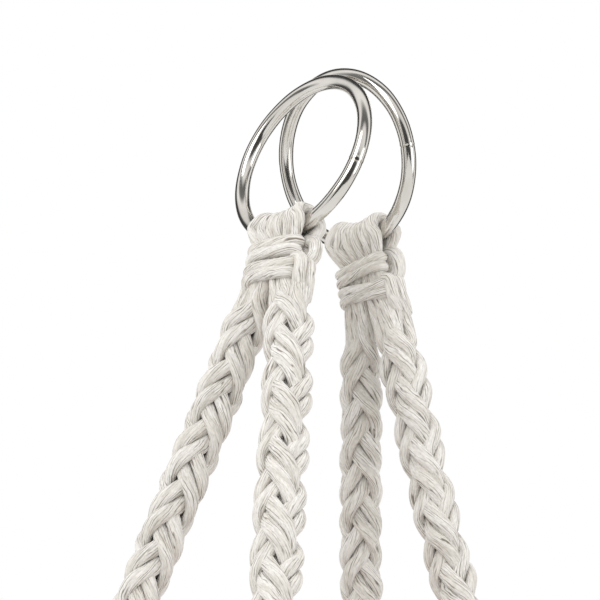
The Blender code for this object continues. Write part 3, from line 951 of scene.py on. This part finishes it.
def make_pot():
    """A thrown terracotta pot, turned about Z, with a rounded lip, throwing ridges and a closed bottom."""
    low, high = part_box("pot")
    base_z = low[2]
    arc = POT_FOOT_Z - base_z
    lip = POT_WALL / 2
    profile = [(0.0, base_z)]
    profile += [(r, base_z) for r in np.linspace(0.010, POT_FOOT_RADIUS - arc - 0.004, 8)]
    profile += [
        (POT_FOOT_RADIUS - arc + arc * math.sin(t), POT_FOOT_Z - arc * math.cos(t))
        for t in np.linspace(0.04, math.pi / 2, 18)
    ]
    profile += [(wall_radius(z), z) for z in np.linspace(POT_FOOT_Z + 0.003, POT_RIM_Z - 0.002, 60)]
    profile += [
        (POT_RIM_RADIUS - lip + lip * math.cos(t), POT_RIM_Z + lip * math.sin(t))
        for t in np.linspace(0, math.pi, 15)
    ]
    inside = np.linspace(POT_RIM_Z - 0.002, POT_FOOT_Z + 0.003, 60)
    profile += [(wall_radius(z) - POT_WALL, z) for z in inside]
    inner = arc - POT_WALL
    profile += [
        (POT_FOOT_RADIUS - arc + inner * math.cos(t), POT_FOOT_Z - inner * math.sin(t))
        for t in np.linspace(0, math.pi / 2, 16)
    ]
    profile += [(r, base_z + POT_WALL) for r in np.linspace(POT_FOOT_RADIUS - arc - 0.004, 0.010, 8)]
    profile += [(0.0, base_z + POT_WALL)]
    profile = np.array(profile)
    sides = 160
    turn = 2 * math.pi * np.arange(sides) / sides
    radius, z = profile[1:-1, 0], profile[1:-1, 1]
    on_wall = smooth_step((radius - 0.06) / 0.02)
    ridge = 0.00012 * np.sin(z * 2 * math.pi / 0.0075) * on_wall
    sway = 0.00015 * np.sin(2 * turn[None, :] + 40 * z[:, None]) * on_wall[:, None]
    reach = radius[:, None] - np.abs(ridge)[:, None] - np.abs(sway)
    points = np.stack(
        [reach * np.cos(turn), reach * np.sin(turn), np.broadcast_to(z[:, None], reach.shape)], -1
    ).reshape(-1, 3)
    rows = len(radius)
    index = np.arange(rows * sides).reshape(rows, sides)
    after = np.roll(index, -1, axis=1)
    quads = np.stack([index[:-1], after[:-1], after[1:], index[1:]], -1).reshape(-1, 4)
    under, floor = rows * sides, rows * sides + 1
    points = np.vstack([points, [[0, 0, profile[0, 1]], [0, 0, profile[-1, 1]]]])
    fans = np.vstack([
        np.stack([after[0], index[0], np.full(sides, under)], -1),
        np.stack([index[-1], after[-1], np.full(sides, floor)], -1),
    ])
    thing = new_piece("pot_clay", points, [quads, fans], clay)
    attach(thing, "pot")
    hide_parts("pot")
    thing.visible_glossy = False  # it would darken the rings' reflections


for ring_name in ("front", "back"):
    make_ring(ring_name)
    make_loops(ring_name)
    make_top_knot(ring_name)
    for hand_name in ("left", "right"):
        make_arm(ring_name, hand_name)
        make_rim_knot(ring_name, hand_name)
        for goal_name in (ring_name, hand_name):
            make_net_leg(ring_name, hand_name, goal_name)
for place_name in MID_ANGLES:
    make_mid_knot(place_name)
    make_under_leg(place_name)
make_gathering()
make_tassel()
make_pot()


# ---------------------------------------------------------------- studio

def make_camera():
    back, right, up = camera_axes()
    aim = np.array(CAMERA_AIM) + CAMERA_AIM_RIGHT * right + CAMERA_AIM_UP * up
    data = bpy.data.cameras.new("camera")
    data.lens = CAMERA_LENS
    data.sensor_width = 36
    data.clip_end = 30
    camera = bpy.data.objects.new("camera", data)
    matrix = np.eye(4)
    matrix[:3, 0], matrix[:3, 1], matrix[:3, 2] = right, up, back
    matrix[:3, 3] = aim + back * CAMERA_DISTANCE
    camera.matrix_world = Matrix(matrix)
    bpy.context.scene.collection.objects.link(camera)
    bpy.context.scene.camera = camera


def make_floor():
    mesh = bpy.data.meshes.new("floor")
    corners = ((-1, -1), (1, -1), (1, 1), (-1, 1))
    points = [(x * FLOOR_HALF, y * FLOOR_HALF, FLOOR_Z) for x, y in corners]
    mesh.from_pydata(points, [], [(0, 1, 2, 3)])
    n = Nodes("floor_paint")
    n.shader.inputs["Base Color"].default_value = (0.82, 0.82, 0.81, 1)
    n.shader.inputs["Roughness"].default_value = 0.9
    mesh.materials.append(n.material)
    floor = bpy.data.objects.new("floor", mesh)
    bpy.context.scene.collection.objects.link(floor)


def area_light(name, azimuth, elevation, distance, size, power, colour=(1, 1, 1)):
    """A square soft light that aims at the knots."""
    az, el = math.radians(azimuth), math.radians(elevation)
    way = np.array((math.sin(az) * math.cos(el), -math.cos(az) * math.cos(el), math.sin(el)))
    data = bpy.data.lights.new(name, "AREA")
    data.size = size
    data.energy = power
    data.color = colour
    light = bpy.data.objects.new(name, data)
    side = unit(np.cross(UP, way))
    matrix = np.eye(4)
    matrix[:3, 0], matrix[:3, 1], matrix[:3, 2] = side, np.cross(way, side), way
    matrix[:3, 3] = np.array((0.0, 0.0, -0.2)) + way * distance
    light.matrix_world = Matrix(matrix)
    bpy.context.scene.collection.objects.link(light)


def make_world():
    """A pale studio: plain white where the camera sees it, with dark flags beside the set for the metal."""
    world = bpy.data.worlds.new("studio")
    world.use_nodes = True
    bpy.context.scene.world = world
    tree = world.node_tree
    tree.nodes.clear()
    link = tree.links.new
    back = camera_axes()[0]
    place = tree.nodes.new("ShaderNodeTexCoord")
    dot = tree.nodes.new("ShaderNodeVectorMath")
    dot.operation = "DOT_PRODUCT"
    dot.inputs[1].default_value = tuple(-back)
    link(place.outputs["Generated"], dot.inputs[0])
    spread = tree.nodes.new("ShaderNodeMapRange")
    spread.inputs["From Min"].default_value = -1
    spread.inputs["From Max"].default_value = 1
    link(dot.outputs["Value"], spread.inputs["Value"])
    ramp = tree.nodes.new("ShaderNodeValToRGB")
    stops = (
        (0.00, 0.06), (0.07, 0.10), (0.10, 0.85), (0.26, 1.10), (0.34, 0.15), (0.45, 0.22),
        (0.54, 1.20), (0.68, 1.00), (0.74, 0.08), (0.93, 0.04), (0.965, 0.95), (1.00, 1.00),
    )
    elements = ramp.color_ramp.elements
    while len(elements) < len(stops):
        elements.new(0.5)
    for element, (position, level) in zip(elements, stops):
        element.position = position
        element.color = (level, level * 0.99, level * 0.975, 1)
    link(spread.outputs["Result"], ramp.inputs["Fac"])
    seen = tree.nodes.new("ShaderNodeBackground")
    seen.inputs["Color"].default_value = (1.0, 1.0, 1.0, 1)
    seen.inputs["Strength"].default_value = 1.0
    studio = tree.nodes.new("ShaderNodeBackground")
    studio.inputs["Strength"].default_value = 0.85
    link(ramp.outputs["Color"], studio.inputs["Color"])
    soft = tree.nodes.new("ShaderNodeBackground")
    soft.inputs["Color"].default_value = (1.0, 1.0, 1.0, 1)
    soft.inputs["Strength"].default_value = 1.10
    path = tree.nodes.new("ShaderNodeLightPath")
    lit = tree.nodes.new("ShaderNodeMixShader")
    link(path.outputs["Is Glossy Ray"], lit.inputs["Fac"])
    link(soft.outputs["Background"], lit.inputs[1])
    link(studio.outputs["Background"], lit.inputs[2])
    pick = tree.nodes.new("ShaderNodeMixShader")
    link(path.outputs["Is Camera Ray"], pick.inputs["Fac"])
    link(lit.outputs["Shader"], pick.inputs[1])
    link(seen.outputs["Background"], pick.inputs[2])
    out = tree.nodes.new("ShaderNodeOutputWorld")
    link(pick.outputs["Shader"], out.inputs["Surface"])


make_camera()
make_floor()
make_world()
area_light("key", -80, 30, 1.6, 0.9, 7)
area_light("fill", 20, 0, 1.8, 1.0, 5)
bpy.context.scene.view_settings.view_transform = "Standard"
